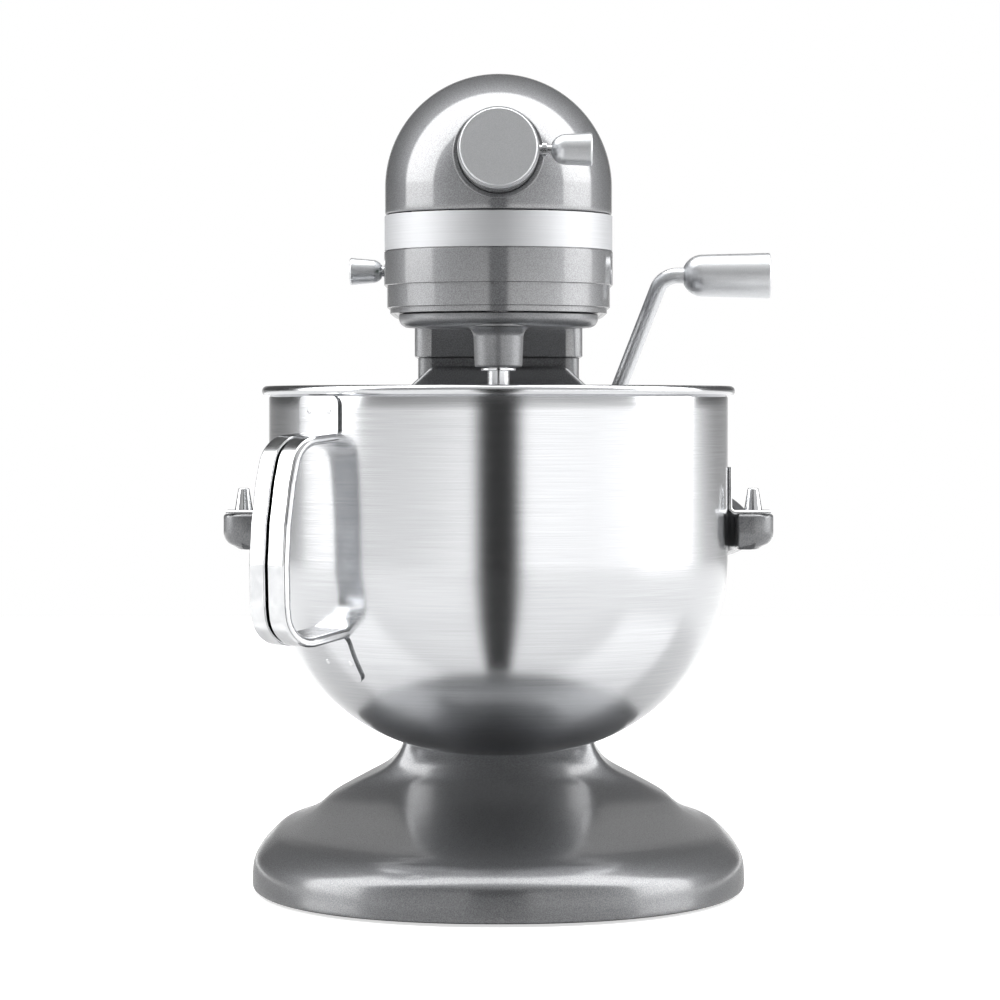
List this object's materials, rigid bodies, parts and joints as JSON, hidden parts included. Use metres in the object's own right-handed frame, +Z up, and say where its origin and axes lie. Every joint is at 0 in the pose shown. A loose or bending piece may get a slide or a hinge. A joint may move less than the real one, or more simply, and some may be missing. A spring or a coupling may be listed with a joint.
{
  "type": "stand mixer",
  "caption": "Bowl-lift stand mixer with planetary beater drive, front attachment hub, steel bowl held on a lifting yoke, side lift lever and speed knob.",
  "frame": {"origin": "on the table under the middle of the mixer's bounding box", "axes": "+Z up, -Y to the front where the attachment hub is, +X to the side of the lift lever"},
  "size_m": [0.287, 0.3714, 0.419],
  "materials": {
    "head_paint": "gloss",
    "stand_paint": "gloss",
    "band_steel": "satin",
    "bowl_steel": "satin",
    "polished_steel": "polished",
    "satin_metal": "satin",
    "cast_alloy": "matte",
    "machined_steel": "satin",
    "core_steel": "matte",
    "brass": "satin",
    "wheel_plastic": "matte",
    "black_plastic": "matte",
    "board": "matte",
    "black_rubber": "matte"
  },
  "bodies": {
    "stand": {"base_foot": "stand_paint", "rubber_feet": "black_rubber", "column": "stand_paint", "column_screws": "machined_steel", "head_lower_housing": "head_paint", "head_upper_housing": "head_paint", "trim_band": "band_steel", "rear_cover": "head_paint", "rear_cover_screw": "machined_steel", "head_screws": "machined_steel", "cord_gland": "black_plastic", "hub_sleeve": "head_paint", "control_board": "board", "gearcase": "cast_alloy", "ring_gear": "machined_steel", "shaft_bearings": "machined_steel", "pinion_bushes": "brass", "motor_stator": "core_steel", "carbon_brushes": "black_plastic", "brush_holders": "brass", "motor_bearings": "machined_steel", "motor_end_bracket": "cast_alloy", "lever_bush": "brass", "height_screw": "machined_steel"},
    "planetary_group": {"planetary": "satin_metal", "planetary_shaft": "machined_steel", "centre_gear": "machined_steel"},
    "beater_group": {"beater_shaft": "polished_steel", "beater_pin": "polished_steel", "beater_washer": "polished_steel", "planet_pinion": "machined_steel"},
    "hub_drive": {"hub_bevel_gear": "machined_steel"},
    "pinion_group": {"pinion_shaft": "machined_steel", "worm_wheel": "wheel_plastic"},
    "motor_rotor": {"armature": "core_steel", "motor_worm": "machined_steel", "commutator": "brass", "motor_fan": "black_plastic"},
    "cap": {"hub_cap": "satin_metal"},
    "thumb_screw": {"hub_thumb_stem": "machined_steel", "hub_thumb_knob": "satin_metal"},
    "speed_lever": {"speed_knob": "satin_metal", "speed_slide": "machined_steel"},
    "lift": {"yoke": "stand_paint", "locating_pins": "polished_steel", "lift_slide_plate": "machined_steel", "slide_plate_screws": "machined_steel", "bowl_clip": "machined_steel"},
    "lever": {"lever_shaft": "polished_steel", "lift_crank": "machined_steel", "crank_roller": "brass", "lift_spring": "machined_steel", "lever_rod": "polished_steel", "lever_grip": "satin_metal"},
    "bowl_group": {"bowl": "bowl_steel", "bowl_handle": "polished_steel", "side_brackets": "bowl_steel", "rear_tongue": "bowl_steel"}
  },
  "joints": [
    {"name": "planetary_spin", "type": "hinge", "parent": "stand", "child": "planetary_group", "pos_m": [0, -0.0433, 0.3], "axis": [0, 0, 1], "continuous": true},
    {"name": "beater_spin", "type": "hinge", "parent": "planetary_group", "child": "beater_group", "pos_m": [0, -0.0753, 0.26], "axis": [0, 0, 1], "continuous": true},
    {"name": "hub_spin", "type": "hinge", "parent": "stand", "child": "hub_drive", "pos_m": [0, -0.0933, 0.3745], "axis": [0, 1, 0], "continuous": true},
    {"name": "pinion_spin", "type": "hinge", "parent": "stand", "child": "pinion_group", "pos_m": [-0.02, 0.00362, 0.33], "axis": [0, 0, 1], "continuous": true},
    {"name": "motor_spin", "type": "hinge", "parent": "stand", "child": "motor_rotor", "pos_m": [0.0125, 0.0667, 0.3492], "axis": [0, 1, 0], "continuous": true},
    {"name": "cap_pull", "type": "slide", "parent": "stand", "child": "cap", "axis": [0, -1, 0], "range_m": [0, 0.02]},
    {"name": "thumb_screw_turn", "type": "hinge", "parent": "stand", "child": "thumb_screw", "pos_m": [0.03, -0.1353, 0.3745], "axis": [1, 0, 0], "range_deg": [0, 360]},
    {"name": "speed_slide", "type": "slide", "parent": "stand", "child": "speed_lever", "axis": [0, -1, 0], "range_m": [0, 0.04]},
    {"name": "lift_lever", "type": "hinge", "parent": "stand", "child": "lever", "pos_m": [0.044, 0.1097, 0.215], "axis": [1, 0, 0], "range_deg": [-110, 0]},
    {"name": "bowl_lift", "type": "slide", "parent": "stand", "child": "lift", "axis": [0, 0, 1], "range_m": [-0.03, 0]},
    {"name": "bowl_off", "type": "slide", "parent": "lift", "child": "bowl_group", "axis": [0, 0, 1], "range_m": [0, 0.016]}
  ],
  "couplings": [
    {"joint": "beater_spin", "follows": "planetary_spin", "ratio": -3.5},
    {"joint": "hub_spin", "follows": "planetary_spin", "ratio": -1},
    {"joint": "pinion_spin", "follows": "planetary_spin", "ratio": -2.4},
    {"joint": "motor_spin", "follows": "planetary_spin", "ratio": 19.2},
    {"joint": "bowl_lift", "follows": "lift_lever", "m_per_rad": 0.015626}
  ]
}
